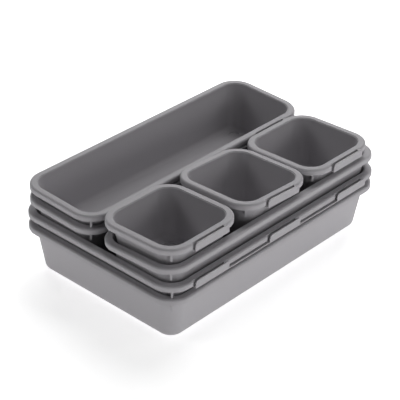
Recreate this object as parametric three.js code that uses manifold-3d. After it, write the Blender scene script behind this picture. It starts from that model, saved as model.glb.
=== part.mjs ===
// A nested set of interlocking drawer organizer trays: two wide ones, three long narrow ones and
// three square ones. Every tray is one thin-walled moulding with a turned-down rim, a short stacking
// rib under each rim corner, four hollow feet and a row of hook tabs on one long side. The trays
// nest in each other, and the narrow ones lean a little towards the middle of the wide one.
//
// Units are millimetres and +Z is up. The origin is under the middle of the bottom tray, on the table.

import * as THREE from "three";
import { mergeVertices } from "three/addons/utils/BufferGeometryUtils.js";
import Module from "manifold-3d";

const wasm = await Module();
wasm.setup();

// ---------------------------------------------------------------- sizes of the trays
const MODULE = 80; // side of the drawer grid that the trays fill
const LONG_MODULES = 3; // modules along a wide or long tray, each with one hook tab
const LARGE_MODULES = 2; // modules across a wide tray
const LARGE_MARGIN = 1.5; // a wide tray's width over the rim is this much under its modules
const SMALL_MARGIN = 4.4; // a square tray's side over the rim is this much under its module
const LENGTH = LONG_MODULES * MODULE; // wide and long trays, over the rim, along Y
const LARGE_WIDTH = LARGE_MODULES * MODULE - LARGE_MARGIN; // over the rim, along X
const SMALL_SIDE = MODULE - SMALL_MARGIN; // square trays' side and long trays' width, over the rim
const HEIGHT = 42; // from the feet to the rim top
const WALL = 1.05; // walls and floor
const DRAFT = 0.135; // how far a wall leans in per millimetre of depth

const RIM_BAND = 6.05; // rim edge to inner wall, on top
const RIM_THICKNESS = 1.4;
const SKIRT_THICKNESS = 1.15;
const SKIRT_HEIGHT = 4.8; // from the rim top to the skirt's lower edge
const RIM_CORNER_RADIUS = 18.5;
const RIM_EDGE_ROUND = 1.8; // outer top edge
const RIM_LIP_ROUND = 0.7; // inner top edge
const CORNER_TIGHTENING = 0.4; // share of the draft by which a wall's corner radius shrinks
const FLOOR_FILLET = 5; // outer radius where the wall meets the floor

const FOOT_HEIGHT = 1;
const FOOT_RADIUS = 6.2;
const FOOT_TAPER = 0.5; // how much smaller a foot is at its lower end
const FOOT_INSET = 21.2; // rim edge to foot centre

const RIB_THICKNESS = 1.7;
const RIB_SETBACK = 2; // skirt face to rib face, at the corner
const RIB_CLEARANCE = 0.3; // rib end to the rim that it lands on

const HOOK_LENGTH = 35.2;
const HOOK_SHIFT = 0.4; // tab middle past the middle of its module, counted from the front rim edge
const HOOK_PROJECTION = 1.2; // tab face beyond the rim edge
const HOOK_THICKNESS = 1;
const HOOK_RECESS = 1.35; // how far the skirt steps in behind a tab
const HOOK_TOP = 0.4; // below the rim top
const HOOK_BOTTOM = 7; // below the rim top
const HOOK_SHELF = 1; // thickness of the shelf that carries a tray's tabs and joins them
const HOOK_CORNER = 2.8; // radius of a tab's upper corners
const HOOK_FRONT_GAP = 1.8; // how far the recess runs on past the tab's free front end
const HOOK_ROOT = 4.5; // length at a tab's back end that is joined to the skirt

// ---------------------------------------------------------------- how the trays sit in each other
const NEST_GAP = 0.45; // between the walls of two nested trays
const NEST_PITCH = (WALL + NEST_GAP) / DRAFT; // rim to rim
const SEAM_LEFT = 0.8; // middle of the wide tray to the left long trays' rim
const SEAM_RIGHT = 2.05; // middle of the wide tray to the right long tray's rim
const LEFT_SWING = 1.43; // how far a left long tray's floor swings outwards as it leans
const RIGHT_SWING = 2.07; // the same for the right long tray
const SMALL_SWING = 0.62; // how far a square tray's floor swings back, in the right long tray
const SMALL_SHIFT = 0.35; // a square tray's rim towards the outer side, in the right long tray
const SMALL_FRONT_MARGIN = 0.8; // long tray's rim to the front square tray's rim
const SMALL_GAP_FRONT = 2.3; // front to middle square tray
const SMALL_GAP_BACK = 0.9; // middle to back square tray
const SMALL_LIFT = { front: 4.3, middle: 3.9, back: 1.9 }; // above the nest pitch
const MIDDLE_DROP = 3.8; // the middle square tray's back edge below its front edge
const LEAN_LEFT = Math.asin(LEFT_SWING / HEIGHT);
const LEAN_RIGHT = Math.asin(RIGHT_SWING / HEIGHT);
const LEAN_SMALL = Math.asin(SMALL_SWING / HEIGHT);
const MIDDLE_PITCH = Math.asin(MIDDLE_DROP / SMALL_SIDE);

const CORNER_STEPS = 2; // half the facets of a round corner
const ROUND_STEPS = 3;
const FOOT_STEPS = 12;
const CUT_MARGIN = 1; // how far a cutting shape runs past what it cuts

const plastic = new THREE.MeshStandardMaterial({ color: 0x8b898d, roughness: 0.55, metalness: 0 });

// ---------------------------------------------------------------- solids
function solidOf(geometry) {
  const bare = geometry.clone();
  bare.deleteAttribute("normal");
  bare.deleteAttribute("uv");
  const merged = mergeVertices(bare, 1e-4);
  return new wasm.Manifold(
    new wasm.Mesh({
      numProp: 3,
      vertProperties: new Float32Array(merged.attributes.position.array),
      triVerts: new Uint32Array(merged.index.array),
    }),
  );
}

function geometryOf(solid) {
  const mesh = solid.getMesh();
  const geometry = new THREE.BufferGeometry();
  geometry.setAttribute("position", new THREE.BufferAttribute(mesh.vertProperties, 3));
  geometry.setIndex(new THREE.BufferAttribute(mesh.triVerts, 1));
  return geometry;
}

function box(low, high) {
  const size = high.map((value, axis) => value - low[axis]);
  const middle = high.map((value, axis) => (value + low[axis]) / 2);
  return new THREE.BoxGeometry(...size).translate(...middle);
}

// Points of a rectangle with round corners. Every outline has the same number of points.
function outlinePoints(halfWidth, halfLength, radius) {
  const x = halfWidth - radius;
  const y = halfLength - radius;
  const shape = new THREE.Shape();
  shape.absarc(x, y, radius, 0, Math.PI / 2);
  shape.absarc(-x, y, radius, Math.PI / 2, Math.PI);
  shape.absarc(-x, -y, radius, Math.PI, Math.PI * 1.5);
  shape.absarc(x, -y, radius, Math.PI * 1.5, Math.PI * 2);
  return shape.getPoints(CORNER_STEPS);
}

// A closed solid through a stack of rings, each { inset, depth, radius } from the rim's edge and top.
function loft(width, length, rings) {
  const outlines = rings.map(({ inset, depth, radius }) => {
    const points = outlinePoints(width / 2 - inset, length / 2 - inset, radius);
    return points.map((point) => [point.x, point.y, -depth]);
  });
  const count = outlines[0].length;
  const positions = outlines.flat();
  const indices = [];
  for (let level = 0; level + 1 < outlines.length; level++) {
    for (let k = 0; k < count; k++) {
      const next = (k + 1) % count;
      const here = level * count;
      const above = here + count;
      indices.push(here + k, here + next, above + next);
      indices.push(here + k, above + next, above + k);
    }
  }
  const bottomCentre = positions.push([0, 0, -rings[0].depth]) - 1;
  const topCentre = positions.push([0, 0, -rings.at(-1).depth]) - 1;
  const top = (outlines.length - 1) * count;
  for (let k = 0; k < count; k++) {
    const next = (k + 1) % count;
    indices.push(bottomCentre, next, k);
    indices.push(topCentre, top + k, top + next);
  }
  const geometry = new THREE.BufferGeometry();
  geometry.setAttribute("position", new THREE.Float32BufferAttribute(positions.flat(), 3));
  geometry.setIndex(indices);
  return geometry;
}

// ---------------------------------------------------------------- the wall and rim profile
function wallRing(insetAtTop, depth) {
  return {
    inset: insetAtTop + DRAFT * depth,
    depth,
    radius: RIM_CORNER_RADIUS - insetAtTop - CORNER_TIGHTENING * DRAFT * depth,
  };
}

function rimRing(inset, depth) {
  return { inset, depth, radius: RIM_CORNER_RADIUS - inset };
}

// Rings round the fillet between a wall and a floor, from the floor up.
function filletRings(insetAtTop, floorDepth, fillet) {
  const wall = wallRing(insetAtTop, floorDepth - fillet);
  const rings = [];
  for (let step = 0; step <= ROUND_STEPS; step++) {
    const angle = (step / ROUND_STEPS) * (Math.PI / 2);
    const inward = fillet * (1 - Math.sin(angle));
    rings.push({
      inset: wall.inset + inward,
      depth: floorDepth - fillet * (1 - Math.cos(angle)),
      radius: wall.radius - inward,
    });
  }
  return rings;
}

function outerRings() {
  const floorDepth = HEIGHT - FOOT_HEIGHT;
  const wallInset = RIM_BAND - WALL;
  const rings = filletRings(wallInset, floorDepth, FLOOR_FILLET);
  rings.push(wallRing(wallInset, RIM_THICKNESS));
  rings.push(rimRing(SKIRT_THICKNESS, RIM_THICKNESS));
  rings.push(rimRing(SKIRT_THICKNESS, SKIRT_HEIGHT));
  rings.push(rimRing(0, SKIRT_HEIGHT));
  for (let step = 0; step <= ROUND_STEPS; step++) {
    const angle = (step / ROUND_STEPS) * (Math.PI / 2);
    const inset = RIM_EDGE_ROUND * (1 - Math.cos(angle));
    rings.push(rimRing(inset, RIM_EDGE_ROUND * (1 - Math.sin(angle))));
  }
  return rings;
}

function cavityRings() {
  const rings = filletRings(RIM_BAND, HEIGHT - FOOT_HEIGHT - WALL, FLOOR_FILLET - WALL);
  rings.push(wallRing(RIM_BAND, RIM_LIP_ROUND));
  rings.push(rimRing(RIM_BAND - RIM_LIP_ROUND * 0.3, RIM_LIP_ROUND * 0.3));
  rings.push(rimRing(RIM_BAND - RIM_LIP_ROUND, 0));
  rings.push(rimRing(RIM_BAND - RIM_LIP_ROUND, -CUT_MARGIN));
  return rings;
}

// ---------------------------------------------------------------- feet, ribs and hook tabs
const CORNERS = [
  [1, 1],
  [-1, 1],
  [-1, -1],
  [1, -1],
];

function footCylinder(width, length, corner, radius, lowDepth, highDepth) {
  const height = lowDepth - highDepth;
  return new THREE.CylinderGeometry(radius, radius - FOOT_TAPER, height, FOOT_STEPS)
    .rotateX(Math.PI / 2)
    .translate(
      corner[0] * (width / 2 - FOOT_INSET),
      corner[1] * (length / 2 - FOOT_INSET),
      -(lowDepth + highDepth) / 2,
    );
}

// A rib stands on the diagonal of a rim corner, from inside the wall out towards the skirt.
function ribGeometry(width, length, corner) {
  const arcX = corner[0] * (width / 2 - RIM_CORNER_RADIUS);
  const arcY = corner[1] * (length / 2 - RIM_CORNER_RADIUS);
  const reach = RIM_CORNER_RADIUS - RIB_SETBACK;
  const wallRadius = RIM_CORNER_RADIUS - RIM_BAND;
  const root = wallRadius - DRAFT * NEST_PITCH * Math.SQRT2;
  const rib = box(
    [root, -RIB_THICKNESS / 2, -(NEST_PITCH - RIB_CLEARANCE)],
    [reach, RIB_THICKNESS / 2, -RIM_THICKNESS / 2],
  );
  return rib.rotateZ(Math.atan2(corner[1], corner[0])).translate(arcX, arcY, 0);
}

// The row of hook tabs and the rail between them, one upright plate on the +X side.
function hookPlate(width, middles, thickness) {
  const half = HOOK_LENGTH / 2;
  const arcHeight = -HOOK_TOP - HOOK_CORNER;
  const railTop = -HOOK_BOTTOM + HOOK_SHELF;
  const outline = new THREE.Shape();
  outline.moveTo(middles[0] - half, -HOOK_BOTTOM);
  outline.lineTo(middles.at(-1) + half, -HOOK_BOTTOM);
  for (const y of middles.toReversed()) {
    outline.lineTo(y + half, railTop);
    outline.absarc(y + half - HOOK_CORNER, arcHeight, HOOK_CORNER, 0, Math.PI / 2);
    outline.absarc(y - half + HOOK_CORNER, arcHeight, HOOK_CORNER, Math.PI / 2, Math.PI);
    outline.lineTo(y - half, railTop);
  }
  outline.closePath();
  const plate = new THREE.ExtrudeGeometry(outline, {
    depth: thickness,
    bevelEnabled: false,
    curveSegments: ROUND_STEPS,
  });
  plate.applyMatrix4(
    new THREE.Matrix4().makeBasis(
      new THREE.Vector3(0, 1, 0),
      new THREE.Vector3(0, 0, 1),
      new THREE.Vector3(1, 0, 0),
    ),
  );
  return plate.translate(width / 2 + HOOK_PROJECTION - thickness, 0, 0);
}

// The shelf under the row of tabs, from behind the skirt out to the plate.
function hookShelf(width, middles) {
  const inner = width / 2 - HOOK_RECESS - SKIRT_THICKNESS;
  const outer = width / 2 + HOOK_PROJECTION - HOOK_THICKNESS / 2;
  const half = HOOK_LENGTH / 2;
  return box(
    [inner, middles[0] - half, -HOOK_BOTTOM],
    [outer, middles.at(-1) + half, -HOOK_BOTTOM + HOOK_SHELF],
  );
}

// Shapes that step the skirt in behind the tab whose middle is at y, hang the shelf on the step,
// and join the tab's back end to the skirt: the root is what is left of a thick tab past the free part.
function hookSeat(width, y) {
  const edge = width / 2;
  const recessed = edge - HOOK_RECESS;
  const inner = recessed - SKIRT_THICKNESS;
  const front = y - HOOK_LENGTH / 2;
  const back = y + HOOK_LENGTH / 2;
  const recessFront = front - HOOK_FRONT_GAP;
  const recessBack = back - HOOK_ROOT;
  const underRim = -RIM_THICKNESS / 2;
  return {
    backing: box(
      [inner, recessFront - CUT_MARGIN, -SKIRT_HEIGHT],
      [edge - SKIRT_THICKNESS / 2, recessBack + CUT_MARGIN, underRim],
    ),
    recess: box(
      [recessed, recessFront, -SKIRT_HEIGHT - CUT_MARGIN],
      [edge + CUT_MARGIN, recessBack, CUT_MARGIN],
    ),
    leg: box([inner, front, -HOOK_BOTTOM], [recessed, back, underRim]),
    thickTab: hookPlate(width, [y], HOOK_PROJECTION + SKIRT_THICKNESS / 2),
    freePart: box(
      [recessed, front - CUT_MARGIN, -HOOK_BOTTOM - CUT_MARGIN],
      [edge + HOOK_PROJECTION + CUT_MARGIN, recessBack, CUT_MARGIN],
    ),
  };
}

// One moulding, with its rim top at z = 0. hookSide is +1 or -1: the side in X that has the tabs.
function trayGeometry(width, length, hookCount, hookSide) {
  const floorDepth = HEIGHT - FOOT_HEIGHT;
  let body = solidOf(loft(width, length, outerRings()));
  for (const corner of CORNERS) {
    body = body.add(solidOf(ribGeometry(width, length, corner)));
    const foot = footCylinder(width, length, corner, FOOT_RADIUS, HEIGHT, floorDepth - WALL / 2);
    body = body.add(solidOf(foot));
  }
  const middles = [];
  for (let k = 0; k < hookCount; k++) {
    middles.push((k + 0.5) * MODULE - length / 2 + HOOK_SHIFT);
  }
  const turned = (shape) => solidOf(hookSide < 0 ? shape.rotateZ(Math.PI) : shape);
  for (const y of middles) {
    const { backing, recess, leg, thickTab, freePart } = hookSeat(width, y);
    body = body.add(turned(backing)).subtract(turned(recess)).add(turned(leg));
    body = body.add(turned(thickTab).subtract(turned(freePart)));
  }
  body = body.add(turned(hookShelf(width, middles)));
  body = body.add(turned(hookPlate(width, middles, HOOK_THICKNESS)));
  body = body.subtract(solidOf(loft(width, length, cavityRings())));
  for (const corner of CORNERS) {
    const low = HEIGHT - WALL;
    const high = floorDepth - WALL - CUT_MARGIN;
    body = body.subtract(solidOf(footCylinder(width, length, corner, FOOT_RADIUS - WALL, low, high)));
  }
  return geometryOf(body);
}

function makeTray(name, width, length, hookCount, hookSide) {
  const mesh = new THREE.Mesh(trayGeometry(width, length, hookCount, hookSide), plastic);
  mesh.name = name;
  return mesh;
}

// ---------------------------------------------------------------- the nest
// Each tray's frame is a group at the middle of its rim top, inside the frame of the tray it sits in.
function nest(parent, tray, { x = 0, y = 0, rise, leanX = 0, leanY = 0 }) {
  const frame = new THREE.Group();
  frame.position.set(x, y, rise);
  frame.rotation.set(leanX, leanY, 0);
  frame.add(tray);
  parent.add(frame);
  return frame;
}

const set = new THREE.Group();
const long = [SMALL_SIDE, LENGTH, LONG_MODULES];
const large = [LARGE_WIDTH, LENGTH, LONG_MODULES];
const small = [SMALL_SIDE, SMALL_SIDE, 1];

const largeLower = nest(set, makeTray("large_tray_lower", ...large, -1), { rise: HEIGHT });
const largeUpper = nest(largeLower, makeTray("large_tray_upper", ...large, 1), { rise: NEST_PITCH });

const halfLong = SMALL_SIDE / 2;
const leftLower = nest(largeUpper, makeTray("long_tray_left_lower", ...long, -1), {
  x: -SEAM_LEFT - halfLong,
  rise: NEST_PITCH + halfLong * Math.sin(LEAN_LEFT),
  leanY: LEAN_LEFT,
});
nest(leftLower, makeTray("long_tray_left_upper", ...long, 1), { rise: NEST_PITCH });

const right = nest(largeUpper, makeTray("long_tray_right", ...long, -1), {
  x: SEAM_RIGHT + halfLong,
  rise: NEST_PITCH + halfLong * Math.sin(LEAN_RIGHT),
  leanY: -LEAN_RIGHT,
});

const frontY = -LENGTH / 2 + SMALL_FRONT_MARGIN + SMALL_SIDE / 2;
const middleY = frontY + SMALL_SIDE + SMALL_GAP_FRONT;
const backY = middleY + SMALL_SIDE + SMALL_GAP_BACK;
const smallPlaces = [
  { name: "small_tray_front", y: frontY, lift: SMALL_LIFT.front, leanX: 0 },
  { name: "small_tray_middle", y: middleY, lift: SMALL_LIFT.middle, leanX: -MIDDLE_PITCH },
  { name: "small_tray_back", y: backY, lift: SMALL_LIFT.back, leanX: 0 },
];
for (const { name, y, lift, leanX } of smallPlaces) {
  nest(right, makeTray(name, ...small, 1), {
    x: SMALL_SHIFT,
    y,
    rise: NEST_PITCH + lift,
    leanX,
    leanY: LEAN_SMALL,
  });
}

export default set;
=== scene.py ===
# The looks of a nested drawer organizer set: two large trays, three long ones and three small
# ones, all moulded in one grey plastic. Every tray has a turned-down rim with a round outer edge,
# a drafted wall, a stacking rib under each rim corner, four hollow feet and hook tabs on one side.
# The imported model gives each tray's size, place and lean. Lengths are metres and +Z is up.

import math

import bmesh
import bpy
from bpy.props import FloatProperty, FloatVectorProperty, IntProperty, PointerProperty
from mathutils import Matrix, Vector


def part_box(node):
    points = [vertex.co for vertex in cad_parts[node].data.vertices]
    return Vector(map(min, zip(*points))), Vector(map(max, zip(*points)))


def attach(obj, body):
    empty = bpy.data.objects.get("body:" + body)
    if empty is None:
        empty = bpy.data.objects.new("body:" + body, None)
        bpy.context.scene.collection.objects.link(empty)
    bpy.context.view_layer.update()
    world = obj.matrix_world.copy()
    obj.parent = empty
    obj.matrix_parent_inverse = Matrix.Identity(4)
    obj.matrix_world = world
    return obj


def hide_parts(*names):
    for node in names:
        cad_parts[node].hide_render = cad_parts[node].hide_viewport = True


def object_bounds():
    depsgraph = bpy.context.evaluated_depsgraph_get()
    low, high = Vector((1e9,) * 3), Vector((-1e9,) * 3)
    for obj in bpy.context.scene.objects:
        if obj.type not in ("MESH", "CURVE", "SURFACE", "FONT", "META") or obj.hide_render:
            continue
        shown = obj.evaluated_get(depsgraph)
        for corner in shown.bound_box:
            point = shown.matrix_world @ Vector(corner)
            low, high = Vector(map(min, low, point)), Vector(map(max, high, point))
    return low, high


bl_info = {
    "name": "Drawer organizer trays",
    "version": (1, 0, 0),
    "blender": (4, 5, 0),
    "location": "View3D > Sidebar > Trays",
    "description": "Moulds a nested set of interlocking drawer trays and sets up their stage",
    "category": "Object",
}

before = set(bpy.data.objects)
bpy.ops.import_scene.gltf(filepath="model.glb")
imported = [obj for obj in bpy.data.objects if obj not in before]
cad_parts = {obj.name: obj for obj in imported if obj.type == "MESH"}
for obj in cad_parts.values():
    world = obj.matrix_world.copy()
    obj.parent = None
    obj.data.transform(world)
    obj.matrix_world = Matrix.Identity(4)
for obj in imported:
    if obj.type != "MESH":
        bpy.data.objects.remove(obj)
CAD_LOW, CAD_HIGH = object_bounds()

MM = 0.001
CORNERS = ((1, 1), (-1, 1), (-1, -1), (1, -1))
LONG_MODULES = 3  # squares of the drawer grid along a large or long tray, each with one tab
HOOK_REACH = 1.2 * MM  # a hook tab's face beyond the rim's edge

# Facets of a quarter turn along each round edge.
RIM_EDGE_STEPS = 6
LIP_STEPS = 4
SKIRT_STEPS = 3
FLOOR_STEPS = 7
TAB_CORNER_STEPS = 8

# Small rounds on the edges of the feet, ribs and tabs, and their facets.
FOOT_ROUND = 0.3 * MM
RIB_ROUND = 0.2 * MM
TAB_ROUND = 0.25 * MM
SMALL_STEPS = 3
RIB_STEPS = 2
FOOT_SIDES = 48

# Allowances of selecting, joining and cutting. Faces of joined shapes never quite coincide.
FACING = 0.9  # a face looks along an axis when its normal's part along it is above this
SHARP = 1.0  # radians: an edge that turns more than this gets a small round
NEAR = 0.1 * MM  # places closer than this count as one
PAST = 1 * MM  # how far a shape runs past what it joins or cuts
SHELF_CLEAR = 0.05 * MM
ROOT_CLEAR = 0.02 * MM
BACKING_CLEAR = 0.01 * MM
WELD = 0.002 * MM  # corners closer than this are merged
SIZE_TOLERANCE = 0.4 * MM  # most that a tray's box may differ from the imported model's
SMOOTH_ANGLE = math.radians(38)  # edges that turn more than this stay sharp

# How far the plastic varies over its surface.
TINT_SPREAD = 0.06  # share of the colour, darker and lighter
TINT_START = 0.45  # noise at which the darkest tint ends
GLOSS_SPREAD = 0.05  # roughness, down and up
SPECKLE_SHARE = 0.5  # weight of the speckles beside the clouds
SPECKLE_GRAINS = 3  # spacing of the speckles, in grains

WHITE = (1.0, 1.0, 1.0, 1.0)
FLOOR_ROUGHNESS = 0.9
FLOOR_GAP = 0.1 * MM  # from the floor to the feet
SENSOR_WIDTH = 36.0  # millimetres

# Piece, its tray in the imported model, and the side in X that its hook tabs are on.
LARGE_TRAYS = (
    ("tray_large_lower", "large_tray_lower", -1),
    ("tray_large_upper", "large_tray_upper", 1),
)
LONG_TRAYS = (
    ("tray_long_left_lower", "long_tray_left_lower", -1),
    ("tray_long_left_upper", "long_tray_left_upper", 1),
    ("tray_long_right", "long_tray_right", -1),
)
SMALL_TRAYS = (
    ("tray_small_front", "small_tray_front", 1),
    ("tray_small_middle", "small_tray_middle", 1),
    ("tray_small_back", "small_tray_back", 1),
)

# Softboxes round the set: name, place, width and height in metres, and power in watts.
STUDIO_LIGHTS = (
    ("stage_front_left", (-1.0, -1.15, 0.85), (0.7, 0.5), 4.0),
    ("stage_right", (1.5, 0.0, 0.45), (1.5, 0.4), 3.8),
    ("stage_right_high", (0.9, 0.1, 1.3), (0.8, 0.8), 1.5),
    ("stage_back_left", (-0.95, 1.05, 0.9), (1.6, 0.9), 13.0),
    ("stage_back_high", (-0.2, 0.7, 1.4), (0.8, 0.8), 7.5),
    ("stage_back_right", (0.95, 1.15, 0.9), (0.6, 0.6), 2.0),
)


def extent(node, axis):
    """Size of a tray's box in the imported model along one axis."""
    low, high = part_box(node)
    return high[axis] - low[axis]


def length_property(name, description, default):
    return FloatProperty(
        name=name, description=description, default=default, min=0.0, precision=5, unit="LENGTH"
    )


# ---------------------------------------------------------------- settings
class TrayRimSettings(bpy.types.PropertyGroup):
    """Sizes of a tray's rim, skirt and hook tabs"""

    band: length_property("Band", "From the rim's edge to the inner wall", 6.05 * MM)
    thickness: length_property("Thickness", "Thickness of the rim", 1.4 * MM)
    corner_radius: length_property("Corner radius", "Radius of the rim's corners", 18.5 * MM)
    corner_segments: IntProperty(
        name="Corner segments", description="Facets of a quarter turn of the rim", default=16, min=4
    )
    edge_round: length_property("Edge round", "Radius along the rim's outer top edge", 1.8 * MM)
    lip_round: length_property("Lip round", "Radius along the rim's inner top edge", 0.7 * MM)
    skirt_height: length_property("Skirt height", "From the rim's top to the skirt's foot", 4.8 * MM)
    skirt_thickness: length_property("Skirt thickness", "Thickness of the skirt", 1.15 * MM)
    skirt_round: length_property("Skirt round", "Radius along the skirt's lower edge", 0.35 * MM)
    hook_length: length_property("Hook length", "Length of a hook tab", 35.2 * MM)
    hook_shift: length_property("Hook shift", "Tab's middle past the middle of its module", 0.4 * MM)
    hook_shelf: length_property("Hook shelf", "Thickness of the shelf under the tabs", 1 * MM)
    hook_projection: length_property("Hook reach", "Tab's face beyond the rim's edge", HOOK_REACH)
    hook_thickness: length_property("Hook thickness", "Thickness of a hook tab", 1 * MM)
    hook_recess: length_property("Hook recess", "How far the skirt steps in behind a tab", 1.35 * MM)
    hook_top: length_property("Hook top", "Tab's upper edge below the rim's top", 0.4 * MM)
    hook_bottom: length_property("Hook bottom", "Tab's lower edge below the rim's top", 7 * MM)
    hook_corner: length_property("Hook corner", "Radius of a tab's upper corners", 2.8 * MM)
    hook_front_gap: length_property("Hook front gap", "Gap in front of a tab's free end", 1.8 * MM)
    hook_root: length_property("Hook root", "Length at a tab's back end joined to the skirt", 4.5 * MM)


class TrayWallSettings(bpy.types.PropertyGroup):
    """Sizes of a tray's outline, wall, feet and stacking ribs"""

    length: length_property(
        "Length", "Length of the large and long trays", extent("large_tray_lower", 1)
    )
    large_width: length_property(
        "Large width", "Width of a large tray", extent("large_tray_lower", 0) - HOOK_REACH
    )
    small_side: length_property(
        "Small side", "Side of a small tray and width of a long one", extent("small_tray_front", 1)
    )
    height: length_property("Height", "From the feet to the rim's top", extent("large_tray_lower", 2))
    thickness: length_property("Thickness", "Thickness of the wall and floor", 1.05 * MM)
    draft: FloatProperty(name="Draft", description="Lean of the wall: run over rise", default=0.135)
    tightening: FloatProperty(
        name="Corner tightening",
        description="Share of the draft by which the wall's corners get tighter",
        default=0.4,
    )
    floor_fillet: length_property("Floor fillet", "Outer radius where wall meets floor", 5 * MM)
    foot_height: length_property("Foot height", "Height of a foot below the floor", 1 * MM)
    foot_radius: length_property("Foot radius", "Radius of a foot where it leaves the floor", 6.2 * MM)
    foot_taper: length_property("Foot taper", "How much smaller a foot's lower end is", 0.5 * MM)
    foot_inset: length_property("Foot inset", "From the rim's edge to a foot's middle", 21.2 * MM)
    rib_height: length_property("Rib height", "Rib's lower end below the rim's top", 10.81 * MM)
    rib_thickness: length_property("Rib thickness", "Thickness of a stacking rib", 1.7 * MM)
    rib_setback: length_property("Rib setback", "From the skirt's face to the rib's edge", 2 * MM)


class TrayPlasticSettings(bpy.types.PropertyGroup):
    """Colour and grain of the moulded plastic"""

    color: FloatVectorProperty(
        name="Colour",
        description="Colour of the plastic",
        subtype="COLOR",
        size=3,
        min=0.0,
        max=1.0,
        default=(0.12, 0.118, 0.137),
    )
    roughness: FloatProperty(
        name="Roughness", description="Roughness of the satin surface", default=0.4, min=0.0, max=1.0
    )
    grain_size: length_property("Grain size", "Spacing of the moulded grain", 0.35 * MM)
    grain_depth: length_property("Grain depth", "Depth of the moulded grain", 0.012 * MM)
    mottle_size: length_property("Mottle size", "Size of the faint colour clouds", 22 * MM)


class TrayStageSettings(bpy.types.PropertyGroup):
    """Floor, lights and camera"""

    floor_color: FloatVectorProperty(
        name="Floor colour",
        description="Colour of the floor",
        subtype="COLOR",
        size=3,
        min=0.0,
        max=1.0,
        default=(0.9, 0.9, 0.9),
    )
    floor_size: length_property("Floor size", "Side of the square floor", 8.0)
    floor_glow: FloatProperty(
        name="Floor glow", description="Light that the backlit floor gives off", default=0.62, min=0.0
    )
    world_strength: FloatProperty(
        name="Fill light", description="Strength of the even light all round", default=0.05, min=0.0
    )
    light_scale: FloatProperty(
        name="Light scale", description="Factor on the power of every studio light", default=1.0, min=0.0
    )
    contrast: FloatProperty(
        name="Display gamma",
        description="Gamma of the displayed picture: below 1 its dark parts get darker",
        default=0.83,
        min=0.1,
    )
    azimuth: FloatProperty(
        name="Azimuth",
        description="Camera's direction round the set, from straight in front",
        default=math.radians(41.65),
        subtype="ANGLE",
    )
    elevation: FloatProperty(
        name="Elevation",
        description="Camera's height above the horizon",
        default=math.radians(31.78),
        subtype="ANGLE",
    )
    roll: FloatProperty(
        name="Roll",
        description="Camera's turn about its own line of sight",
        default=math.radians(-1.37),
        subtype="ANGLE",
    )
    distance: length_property("Distance", "From the camera to the set", 1.1247)
    aim_height: length_property("Aim height", "Height of the point that the camera circles", 45 * MM)
    aim_right: FloatProperty(
        name="Aim right", description="Aim to the camera's right", default=-3.29 * MM, unit="LENGTH"
    )
    aim_up: FloatProperty(
        name="Aim up", description="Aim to the camera's top", default=-3.46 * MM, unit="LENGTH"
    )
    lens: FloatProperty(name="Lens", description="Focal length in millimetres", default=131.43)


# ---------------------------------------------------------------- modelling steps
def start_clean():
    if bpy.context.mode != "OBJECT":
        bpy.ops.object.mode_set(mode="OBJECT")
    bpy.ops.object.select_all(action="DESELECT")


def pick(piece, kind, wanted):
    """Selects the faces, edges or corners that a test accepts, in edit mode."""
    bpy.ops.mesh.select_mode(type=kind)
    bpy.ops.mesh.select_all(action="DESELECT")
    shape = bmesh.from_edit_mesh(piece.data)
    parts = {"FACE": shape.faces, "EDGE": shape.edges, "VERT": shape.verts}[kind]
    for part in parts:
        part.select_set(wanted(part))
    bmesh.update_edit_mesh(piece.data)


def pull(x=0.0, y=0.0, z=0.0):
    """Extrudes what is selected."""
    bpy.ops.mesh.extrude_region_move(TRANSFORM_OT_translate={"value": (x, y, z)})


def step_in(inward, outward):
    """Insets the selected cap, and moves it out along its normal."""
    bpy.ops.mesh.inset(thickness=inward, depth=outward, use_even_offset=True)


def quarter_steps(radius, steps):
    """Steps of a quarter turn that starts along the wall: how far in and how far on each goes."""
    turn = [math.pi / 2 * k / steps for k in range(steps + 1)]
    for now, then in zip(turn, turn[1:]):
        yield radius * (math.cos(now) - math.cos(then)), radius * (math.sin(then) - math.sin(now))


def narrow_cap(piece, half_width, half_length, radius, inward, tighter):
    """Moves the selected cap's outline in, and changes the radius of its corners."""
    shape = bmesh.from_edit_mesh(piece.data)
    cap = next(face for face in shape.faces if face.select)
    height = cap.calc_center_median().z
    shape.faces.index_update()
    cap_index = cap.index
    for side_x, side_y in CORNERS:
        members = {v.index for v in cap.verts if v.co.x * side_x > 0 and v.co.y * side_y > 0}
        pick(piece, "VERT", lambda vert: vert.index in members)
        centre = (side_x * (half_width - radius), side_y * (half_length - radius), height)
        share = tighter / radius
        bpy.ops.transform.resize(value=(share, share, 1.0), center_override=centre)
        shift = radius - tighter - inward
        bpy.ops.transform.translate(value=(side_x * shift, side_y * shift, 0.0))
        shape = bmesh.from_edit_mesh(piece.data)
        shape.faces.ensure_lookup_table()
        cap = shape.faces[cap_index]
    pick(piece, "FACE", lambda face: face.index == cap_index)


def block(name, low, high):
    """A box from corner to corner, left in edit mode."""
    start_clean()
    bpy.ops.mesh.primitive_cube_add(size=1.0)
    piece = bpy.context.object
    piece.name = name
    bpy.ops.object.mode_set(mode="EDIT")
    bpy.ops.mesh.select_all(action="SELECT")
    bpy.ops.transform.resize(value=[b - a for a, b in zip(low, high)])
    bpy.ops.transform.translate(value=[(a + b) / 2 for a, b in zip(low, high)])
    return piece


def join(pieces):
    """Makes one object of several."""
    start_clean()
    for piece in pieces:
        piece.select_set(True)
    bpy.context.view_layer.objects.active = pieces[0]
    if len(pieces) > 1:
        bpy.ops.object.join()
    return pieces[0]


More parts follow.
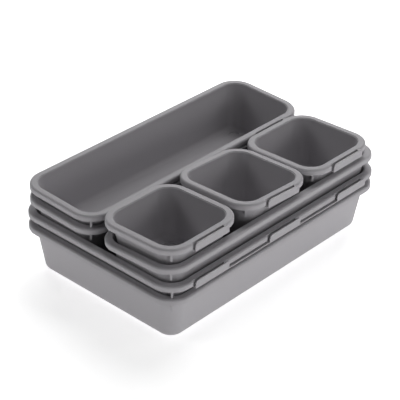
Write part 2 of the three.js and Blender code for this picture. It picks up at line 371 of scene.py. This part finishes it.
def combine(body, tool, operation):
    """Adds a tool's shape to a body or cuts it away, and throws the tool away."""
    start_clean()
    body.select_set(True)
    bpy.context.view_layer.objects.active = body
    modifier = body.modifiers.new("combine", "BOOLEAN")
    modifier.operation = operation
    modifier.solver = "EXACT"
    modifier.object = tool
    bpy.ops.object.modifier_apply(modifier=modifier.name)
    bpy.data.objects.remove(tool, do_unlink=True)


# ---------------------------------------------------------------- the parts of a tray
def mould_shell(name, width, length, rim, wall):
    """Rim, skirt, wall and floor, with the middle of the rim's top at the origin."""
    half_width = width / 2
    half_length = length / 2
    floor_depth = wall.height - wall.foot_height

    start_clean()
    bpy.ops.mesh.primitive_plane_add(size=1.0)
    piece = bpy.context.object
    piece.name = name
    bpy.ops.object.mode_set(mode="EDIT")
    bpy.ops.mesh.select_all(action="SELECT")
    bpy.ops.transform.resize(value=(width, length, 1.0))
    bpy.ops.transform.translate(value=(0.0, 0.0, rim.skirt_round - rim.skirt_height))
    bpy.ops.mesh.bevel(offset=rim.corner_radius, segments=rim.corner_segments, affect="VERTICES")
    pull(z=rim.skirt_height - rim.skirt_round - rim.edge_round)
    bpy.ops.mesh.select_all(action="SELECT")
    bpy.ops.mesh.normals_make_consistent(inside=False)

    # Upper side: round edge, flat rim, round lip, then down the wall and into the floor.
    pick(piece, "FACE", lambda face: face.normal.z > FACING)
    for inward, outward in quarter_steps(rim.edge_round, RIM_EDGE_STEPS):
        step_in(inward, outward)
    step_in(rim.band - rim.lip_round - rim.edge_round, 0.0)
    for along, inward in reversed(list(quarter_steps(rim.lip_round, LIP_STEPS))):
        step_in(inward, -along)
    inner_fillet = wall.floor_fillet - wall.thickness
    wall_foot = floor_depth - wall.thickness - inner_fillet
    pull(z=rim.lip_round - wall_foot)
    drop = wall_foot - rim.lip_round
    radius = rim.corner_radius - rim.band
    narrow_cap(
        piece,
        half_width - rim.band,
        half_length - rim.band,
        radius,
        wall.draft * drop,
        radius - wall.tightening * wall.draft * drop,
    )
    for inward, outward in quarter_steps(inner_fillet, FLOOR_STEPS):
        step_in(inward, -outward)

    # Lower side: round skirt edge, up inside the skirt, across to the wall and down to the floor.
    pick(piece, "FACE", lambda face: face.normal.z < -FACING)
    for inward, outward in quarter_steps(rim.skirt_round, SKIRT_STEPS):
        step_in(inward, outward)
    step_in(rim.skirt_thickness - rim.skirt_round, 0.0)
    pull(z=rim.skirt_height - rim.thickness)
    top_inset = rim.band - wall.thickness + wall.draft * rim.thickness
    step_in(top_inset - rim.skirt_thickness, 0.0)
    wall_foot = floor_depth - wall.floor_fillet
    drop = wall_foot - rim.thickness
    pull(z=-drop)
    radius = rim.corner_radius - top_inset
    narrow_cap(
        piece,
        half_width - top_inset,
        half_length - top_inset,
        radius,
        wall.draft * drop,
        radius - wall.tightening * wall.draft * drop,
    )
    for inward, outward in quarter_steps(wall.floor_fillet, FLOOR_STEPS):
        step_in(inward, outward)
    bpy.ops.object.mode_set(mode="OBJECT")
    return piece


def make_rib(width, length, corner, rim, wall):
    """A stacking rib on the diagonal of a rim corner, with its root inside the drafted wall."""
    reach = rim.corner_radius - wall.rib_setback
    slope = wall.draft * (wall.tightening + (1 - wall.tightening) * math.sqrt(2))
    root = rim.corner_radius - rim.band + wall.thickness / 2
    half = wall.rib_thickness / 2
    top = -rim.thickness / 2
    low = (root - slope * rim.thickness / 2, -half, -wall.rib_height)
    piece = block("rib", low, (reach, half, top))
    pick(piece, "VERT", lambda vert: vert.co.x < root and vert.co.z < top - NEAR)
    bpy.ops.transform.translate(value=(-slope * (wall.rib_height + top), 0.0, 0.0))
    pick(
        piece,
        "EDGE",
        lambda edge: all(v.co.x > reach - NEAR for v in edge.verts)
        or all(v.co.z < NEAR - wall.rib_height for v in edge.verts),
    )
    bpy.ops.mesh.bevel(offset=RIB_ROUND, segments=RIB_STEPS, affect="EDGES")
    bpy.ops.object.mode_set(mode="OBJECT")
    turn = math.atan2(corner[1], corner[0])
    place = Vector(
        (
            corner[0] * (width / 2 - rim.corner_radius),
            corner[1] * (length / 2 - rim.corner_radius),
            0.0,
        )
    )
    piece.data.transform(Matrix.Translation(place) @ Matrix.Rotation(turn, 4, "Z"))
    return piece


def make_foot(name, width, length, corner, radius, low, high, wall):
    """A tapered round plug where a foot is: low and high are depths below the rim's top."""
    start_clean()
    place = (
        corner[0] * (width / 2 - wall.foot_inset),
        corner[1] * (length / 2 - wall.foot_inset),
        -(low + high) / 2,
    )
    bpy.ops.mesh.primitive_cone_add(
        vertices=FOOT_SIDES,
        radius1=radius - wall.foot_taper,
        radius2=radius,
        depth=low - high,
        location=place,
    )
    piece = bpy.context.object
    piece.name = name
    bpy.ops.object.transform_apply(location=True, rotation=True, scale=True)
    bpy.ops.object.mode_set(mode="EDIT")
    pick(piece, "EDGE", lambda edge: all(v.co.z < NEAR - low for v in edge.verts))
    bpy.ops.mesh.bevel(offset=FOOT_ROUND, segments=SMALL_STEPS, affect="EDGES")
    bpy.ops.object.mode_set(mode="OBJECT")
    return piece


def make_hooks(edge, spots, rim):
    """Hook tabs on the +X side: upright tabs on one shelf that joins them, and a leg behind each."""
    half = rim.hook_length / 2
    face = edge + rim.hook_projection
    inside = face - rim.hook_thickness
    outer = edge - rim.hook_recess - SHELF_CLEAR
    inner = edge - rim.hook_recess - rim.skirt_thickness + SHELF_CLEAR
    shelf_top = rim.hook_shelf - rim.hook_bottom

    def under_tab(face):
        middle = face.calc_center_median()
        return any(abs(middle.y - y) < half for y in spots)

    low = (inside, spots[0] - half, -rim.hook_bottom)
    piece = block("hooks", low, (face, spots[-1] + half, shelf_top))
    for y in [spot + side * half for spot in spots for side in (-1, 1)][1:-1]:
        bpy.ops.mesh.select_all(action="SELECT")
        bpy.ops.mesh.bisect(plane_co=(0.0, y, 0.0), plane_no=(0.0, 1.0, 0.0))
    pick(piece, "FACE", lambda face: face.normal.z > FACING and under_tab(face))
    pull(z=-rim.hook_top - shelf_top)
    pick(
        piece,
        "EDGE",
        lambda edge: all(v.co.z > -rim.hook_top - NEAR for v in edge.verts)
        and abs(edge.verts[0].co.y - edge.verts[1].co.y) < NEAR,
    )
    bpy.ops.mesh.bevel(offset=rim.hook_corner, segments=TAB_CORNER_STEPS, affect="EDGES")
    bpy.ops.mesh.select_all(action="SELECT")
    bpy.ops.mesh.bisect(plane_co=(0.0, 0.0, shelf_top), plane_no=(0.0, 0.0, 1.0))
    pick(
        piece,
        "FACE",
        lambda face: face.normal.x < -FACING and face.calc_center_median().z < shelf_top,
    )
    pull(x=inner - inside)
    bpy.ops.mesh.select_all(action="SELECT")
    bpy.ops.mesh.bisect(plane_co=(outer, 0.0, 0.0), plane_no=(1.0, 0.0, 0.0))
    pick(
        piece,
        "FACE",
        lambda face: face.normal.z > FACING
        and face.calc_center_median().x < outer
        and face.calc_center_median().z < shelf_top + NEAR
        and under_tab(face),
    )
    pull(z=-rim.thickness / 2 - shelf_top)
    pick(
        piece,
        "EDGE",
        lambda edge: len(edge.link_faces) == 2
        and edge.calc_face_angle_signed() > SHARP
        and any(v.co.x > inside - NEAR for v in edge.verts),
    )
    bpy.ops.mesh.bevel(offset=TAB_ROUND, segments=SMALL_STEPS, affect="EDGES")
    bpy.ops.object.mode_set(mode="OBJECT")
    return piece


def make_hook_root(edge, y, rim):
    """Fills the slot behind a tab's back end, which joins the tab to the skirt."""
    back = y + rim.hook_length / 2 - ROOT_CLEAR
    top = -rim.hook_top - ROOT_CLEAR
    low = (edge - rim.skirt_thickness / 2, back - rim.hook_root, ROOT_CLEAR - rim.hook_bottom)
    high = (edge + rim.hook_projection - rim.hook_thickness / 2, back, top)
    piece = block("hook_root", low, high)
    pick(
        piece,
        "EDGE",
        lambda edge: all(v.co.z > top - NEAR and v.co.y > back - NEAR for v in edge.verts),
    )
    bpy.ops.mesh.bevel(offset=rim.hook_corner, segments=TAB_CORNER_STEPS, affect="EDGES")
    bpy.ops.object.mode_set(mode="OBJECT")
    return piece


def mould_tray(name, width, length, hook_count, rim, wall):
    """One whole tray with its hook tabs on the +X side."""
    floor_depth = wall.height - wall.foot_height
    edge = width / 2
    recessed = edge - rim.hook_recess
    module = wall.length / LONG_MODULES
    spots = [(k + 0.5) * module - length / 2 + rim.hook_shift for k in range(hook_count)]
    body = mould_shell(name, width, length, rim, wall)

    added = []
    cut = []
    for corner in CORNERS:
        added.append(make_rib(width, length, corner, rim, wall))
        low = wall.height
        high = floor_depth - wall.thickness / 2
        radius = wall.foot_radius
        added.append(make_foot("foot", width, length, corner, radius, low, high, wall))
        low = wall.height - wall.thickness
        high = floor_depth - wall.thickness - PAST
        radius = wall.foot_radius - wall.thickness
        cut.append(make_foot("foot_recess", width, length, corner, radius, low, high, wall))
    for y in spots:
        front = y - rim.hook_length / 2 - rim.hook_front_gap
        back = y + rim.hook_length / 2 - rim.hook_root
        low = (recessed - rim.skirt_thickness, front - PAST, BACKING_CLEAR - rim.skirt_height)
        high = (edge - rim.skirt_thickness / 2, back + PAST, -rim.thickness / 2)
        added.append(block("backing", low, high))
        low = (recessed, front, -rim.skirt_height - PAST)
        high = (edge + PAST, back, PAST)
        cut.append(block("recess", low, high))
    combine(body, join(added), "UNION")
    combine(body, join(cut), "DIFFERENCE")
    combine(body, join([make_hook_root(edge, y, rim) for y in spots]), "UNION")
    combine(body, make_hooks(edge, spots, rim), "UNION")

    start_clean()
    body.select_set(True)
    bpy.context.view_layer.objects.active = body
    bpy.ops.object.mode_set(mode="EDIT")
    bpy.ops.mesh.select_all(action="SELECT")
    bpy.ops.mesh.remove_doubles(threshold=WELD)
    bpy.ops.mesh.normals_make_consistent(inside=False)
    bpy.ops.object.mode_set(mode="OBJECT")
    bpy.ops.object.shade_smooth_by_angle(angle=SMOOTH_ANGLE)
    weighted = body.modifiers.new("weighted", "WEIGHTED_NORMAL")
    weighted.keep_sharp = True
    bpy.ops.object.modifier_apply(modifier=weighted.name)
    return body


# ---------------------------------------------------------------- placing the trays
def lean_of(node):
    """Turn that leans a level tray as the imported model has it, read from its widest level face."""
    flat = [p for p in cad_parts[node].data.polygons if p.normal.z > FACING]
    up = max(flat, key=lambda p: p.area).normal
    side = math.atan2(up.x, up.z)
    front = -math.asin(up.y)
    return Matrix.Rotation(side, 4, "Y") @ Matrix.Rotation(front, 4, "X")


def own_box(piece):
    """Lowest and highest corners of a piece's own mesh."""
    corners = [v.co for v in piece.data.vertices]
    low = Vector([min(c[axis] for c in corners) for axis in range(3)])
    high = Vector([max(c[axis] for c in corners) for axis in range(3)])
    return low, high


def place_tray(pattern, name, node, hook_side, material):
    """Copies a finished tray, with its own mesh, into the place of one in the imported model."""
    piece = pattern.copy()
    piece.data = pattern.data.copy()
    piece.name = name
    piece.data.name = name
    bpy.context.scene.collection.objects.link(piece)
    half_turn = Matrix.Rotation(math.pi if hook_side < 0 else 0.0, 4, "Z")
    piece.data.transform(lean_of(node) @ half_turn)
    low, high = own_box(piece)
    wanted_low, wanted_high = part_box(node)
    piece.data.transform(Matrix.Translation((wanted_low + wanted_high - low - high) / 2))
    miss = max(map(abs, (wanted_high - wanted_low) - (high - low)))
    if miss > SIZE_TOLERANCE:
        raise RuntimeError(f"{name} is {miss / MM:.2f} mm off the size of {node}")
    piece.data.materials.clear()
    piece.data.materials.append(material)
    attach(piece, node)
    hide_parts(node)


def build_trays(context, width, length, hook_count, trays):
    """Moulds one tray of a size, and places a copy for every tray of that size."""
    scene = context.scene
    pattern = mould_tray("pattern", width, length, hook_count, scene.tray_rim, scene.tray_wall)
    material = plastic_material(scene.tray_plastic)
    for name, node, hook_side in trays:
        place_tray(pattern, name, node, hook_side, material)
    bpy.data.objects.remove(pattern, do_unlink=True)


# ---------------------------------------------------------------- materials
def plastic_material(plastic):
    """Satin mid-grey plastic with a fine moulded grain and faint clouds of colour."""
    name = "tray_plastic"
    if name in bpy.data.materials:
        return bpy.data.materials[name]
    material = bpy.data.materials.new(name)
    material.use_nodes = True
    nodes = material.node_tree.nodes
    links = material.node_tree.links
    shader = nodes["Principled BSDF"]
    where = nodes.new("ShaderNodeTexCoord")

    mottle = nodes.new("ShaderNodeTexNoise")
    mottle.inputs["Scale"].default_value = 1.0 / plastic.mottle_size
    mottle.inputs["Detail"].default_value = 3.0
    links.new(where.outputs["Object"], mottle.inputs["Vector"])

    speckle = nodes.new("ShaderNodeTexNoise")
    speckle.inputs["Scale"].default_value = 1.0 / (plastic.grain_size * SPECKLE_GRAINS)
    speckle.inputs["Detail"].default_value = 4.0
    links.new(where.outputs["Object"], speckle.inputs["Vector"])

    blend = nodes.new("ShaderNodeMath")
    blend.operation = "MULTIPLY_ADD"
    blend.inputs[1].default_value = SPECKLE_SHARE
    links.new(speckle.outputs["Fac"], blend.inputs[0])
    links.new(mottle.outputs["Fac"], blend.inputs[2])

    tint = nodes.new("ShaderNodeValToRGB")
    color = Vector(plastic.color)
    tint.color_ramp.elements[0].position = TINT_START
    tint.color_ramp.elements[0].color = (*(color * (1 - TINT_SPREAD)), 1.0)
    tint.color_ramp.elements[1].color = (*(color * (1 + TINT_SPREAD)), 1.0)
    links.new(blend.outputs["Value"], tint.inputs["Fac"])
    links.new(tint.outputs["Color"], shader.inputs["Base Color"])

    satin = nodes.new("ShaderNodeMapRange")
    satin.inputs["To Min"].default_value = plastic.roughness - GLOSS_SPREAD
    satin.inputs["To Max"].default_value = plastic.roughness + GLOSS_SPREAD
    links.new(mottle.outputs["Fac"], satin.inputs["Value"])
    links.new(satin.outputs["Result"], shader.inputs["Roughness"])

    grain = nodes.new("ShaderNodeTexNoise")
    grain.inputs["Scale"].default_value = 1.0 / plastic.grain_size
    grain.inputs["Detail"].default_value = 2.0
    links.new(where.outputs["Object"], grain.inputs["Vector"])
    bump = nodes.new("ShaderNodeBump")
    bump.inputs["Distance"].default_value = plastic.grain_depth
    bump.inputs["Strength"].default_value = 1.0
    links.new(grain.outputs["Fac"], bump.inputs["Height"])
    links.new(bump.outputs["Normal"], shader.inputs["Normal"])
    return material


def floor_material(stage):
    """Matt white of a floor that is lit from below."""
    material = bpy.data.materials.new("stage_floor")
    material.use_nodes = True
    shader = material.node_tree.nodes["Principled BSDF"]
    shader.inputs["Base Color"].default_value = (*stage.floor_color, 1.0)
    shader.inputs["Roughness"].default_value = FLOOR_ROUGHNESS
    shader.inputs["Emission Color"].default_value = WHITE
    shader.inputs["Emission Strength"].default_value = stage.floor_glow
    return material


# ---------------------------------------------------------------- stage
def make_camera(stage):
    """Camera on a circle round the set, turned a little about its line of sight."""
    azimuth = stage.azimuth
    elevation = stage.elevation
    back = Vector(
        (
            math.sin(azimuth) * math.cos(elevation),
            -math.cos(azimuth) * math.cos(elevation),
            math.sin(elevation),
        )
    )
    right = Vector((math.cos(azimuth), math.sin(azimuth), 0.0))
    up = back.cross(right)
    target = Vector((0.0, 0.0, stage.aim_height)) + right * stage.aim_right + up * stage.aim_up
    camera = bpy.data.objects.new("camera", bpy.data.cameras.new("camera"))
    bpy.context.scene.collection.objects.link(camera)
    turned_right = right * math.cos(stage.roll) - up * math.sin(stage.roll)
    turned_up = right * math.sin(stage.roll) + up * math.cos(stage.roll)
    rotation = Matrix((turned_right, turned_up, back)).transposed()
    camera.matrix_world = Matrix.Translation(target + back * stage.distance) @ rotation.to_4x4()
    camera.data.lens = stage.lens
    camera.data.sensor_width = SENSOR_WIDTH
    camera.data.dof.use_dof = False
    bpy.context.scene.camera = camera


def area_light(name, place, target, size, power):
    """A rectangular softbox that faces a target."""
    data = bpy.data.lights.new(name, "AREA")
    data.shape = "RECTANGLE"
    data.size, data.size_y = size
    data.energy = power
    light = bpy.data.objects.new(name, data)
    bpy.context.scene.collection.objects.link(light)
    light.location = place
    light.rotation_euler = (target - Vector(place)).to_track_quat("-Z", "Y").to_euler()


# ---------------------------------------------------------------- operators
class MakeLargeTrays(bpy.types.Operator):
    """Moulds the two large trays that hold all the others"""

    bl_idname = "trays.make_large"
    bl_label = "Large trays"

    def execute(self, context):
        wall = context.scene.tray_wall
        build_trays(context, wall.large_width, wall.length, LONG_MODULES, LARGE_TRAYS)
        return {"FINISHED"}


class MakeLongTrays(bpy.types.Operator):
    """Moulds the three long trays: two nested on the left and one on the right"""

    bl_idname = "trays.make_long"
    bl_label = "Long trays"

    def execute(self, context):
        wall = context.scene.tray_wall
        build_trays(context, wall.small_side, wall.length, LONG_MODULES, LONG_TRAYS)
        return {"FINISHED"}


class MakeSmallTrays(bpy.types.Operator):
    """Moulds the three small square trays in the long tray on the right"""

    bl_idname = "trays.make_small"
    bl_label = "Small trays"

    def execute(self, context):
        wall = context.scene.tray_wall
        build_trays(context, wall.small_side, wall.small_side, 1, SMALL_TRAYS)
        return {"FINISHED"}


class MakeStage(bpy.types.Operator):
    """Lays the floor and sets the lights and the camera"""

    bl_idname = "trays.make_stage"
    bl_label = "Stage"

    def execute(self, context):
        stage = context.scene.tray_stage
        start_clean()
        floor_place = (0.0, 0.0, CAD_LOW.z - FLOOR_GAP)
        bpy.ops.mesh.primitive_plane_add(size=stage.floor_size, location=floor_place)
        floor = bpy.context.object
        floor.name = "stage_floor"
        floor.data.materials.append(floor_material(stage))

        world = bpy.data.worlds.new("stage_world")
        context.scene.world = world
        world.use_nodes = True
        background = world.node_tree.nodes["Background"]
        background.inputs["Color"].default_value = WHITE
        background.inputs["Strength"].default_value = stage.world_strength

        middle = (CAD_LOW + CAD_HIGH) / 2
        for name, place, size, power in STUDIO_LIGHTS:
            area_light(name, place, middle, size, power * stage.light_scale)
        make_camera(stage)
        context.scene.view_settings.view_transform = "Standard"
        context.scene.view_settings.gamma = stage.contrast
        return {"FINISHED"}


class TRAYS_PT_panel(bpy.types.Panel):
    """Settings and buttons of the tray set"""

    bl_idname = "TRAYS_PT_panel"
    bl_label = "Drawer organizer"
    bl_space_type = "VIEW_3D"
    bl_region_type = "UI"
    bl_category = "Trays"

    def draw(self, context):
        layout = self.layout
        for operator in OPERATORS:
            layout.operator(operator.bl_idname)
        for title, name in SETTINGS.items():
            box = layout.box()
            box.label(text=title)
            group = getattr(context.scene, name)
            for key in type(group).__annotations__:
                box.prop(group, key)


OPERATORS = (MakeStage, MakeLargeTrays, MakeLongTrays, MakeSmallTrays)
GROUPS = {
    "tray_rim": TrayRimSettings,
    "tray_wall": TrayWallSettings,
    "tray_plastic": TrayPlasticSettings,
    "tray_stage": TrayStageSettings,
}
SETTINGS = {"Rim": "tray_rim", "Wall": "tray_wall", "Plastic": "tray_plastic", "Stage": "tray_stage"}


def register():
    for cls in (*GROUPS.values(), *OPERATORS, TRAYS_PT_panel):
        bpy.utils.register_class(cls)
    for name, group in GROUPS.items():
        setattr(bpy.types.Scene, name, PointerProperty(type=group))


def unregister():
    for name in GROUPS:
        delattr(bpy.types.Scene, name)
    for cls in reversed((*GROUPS.values(), *OPERATORS, TRAYS_PT_panel)):
        bpy.utils.unregister_class(cls)


def main():
    register()
    bpy.ops.trays.make_stage()
    bpy.ops.trays.make_large()
    bpy.ops.trays.make_long()
    bpy.ops.trays.make_small()


if __name__ == "__main__":
    main()
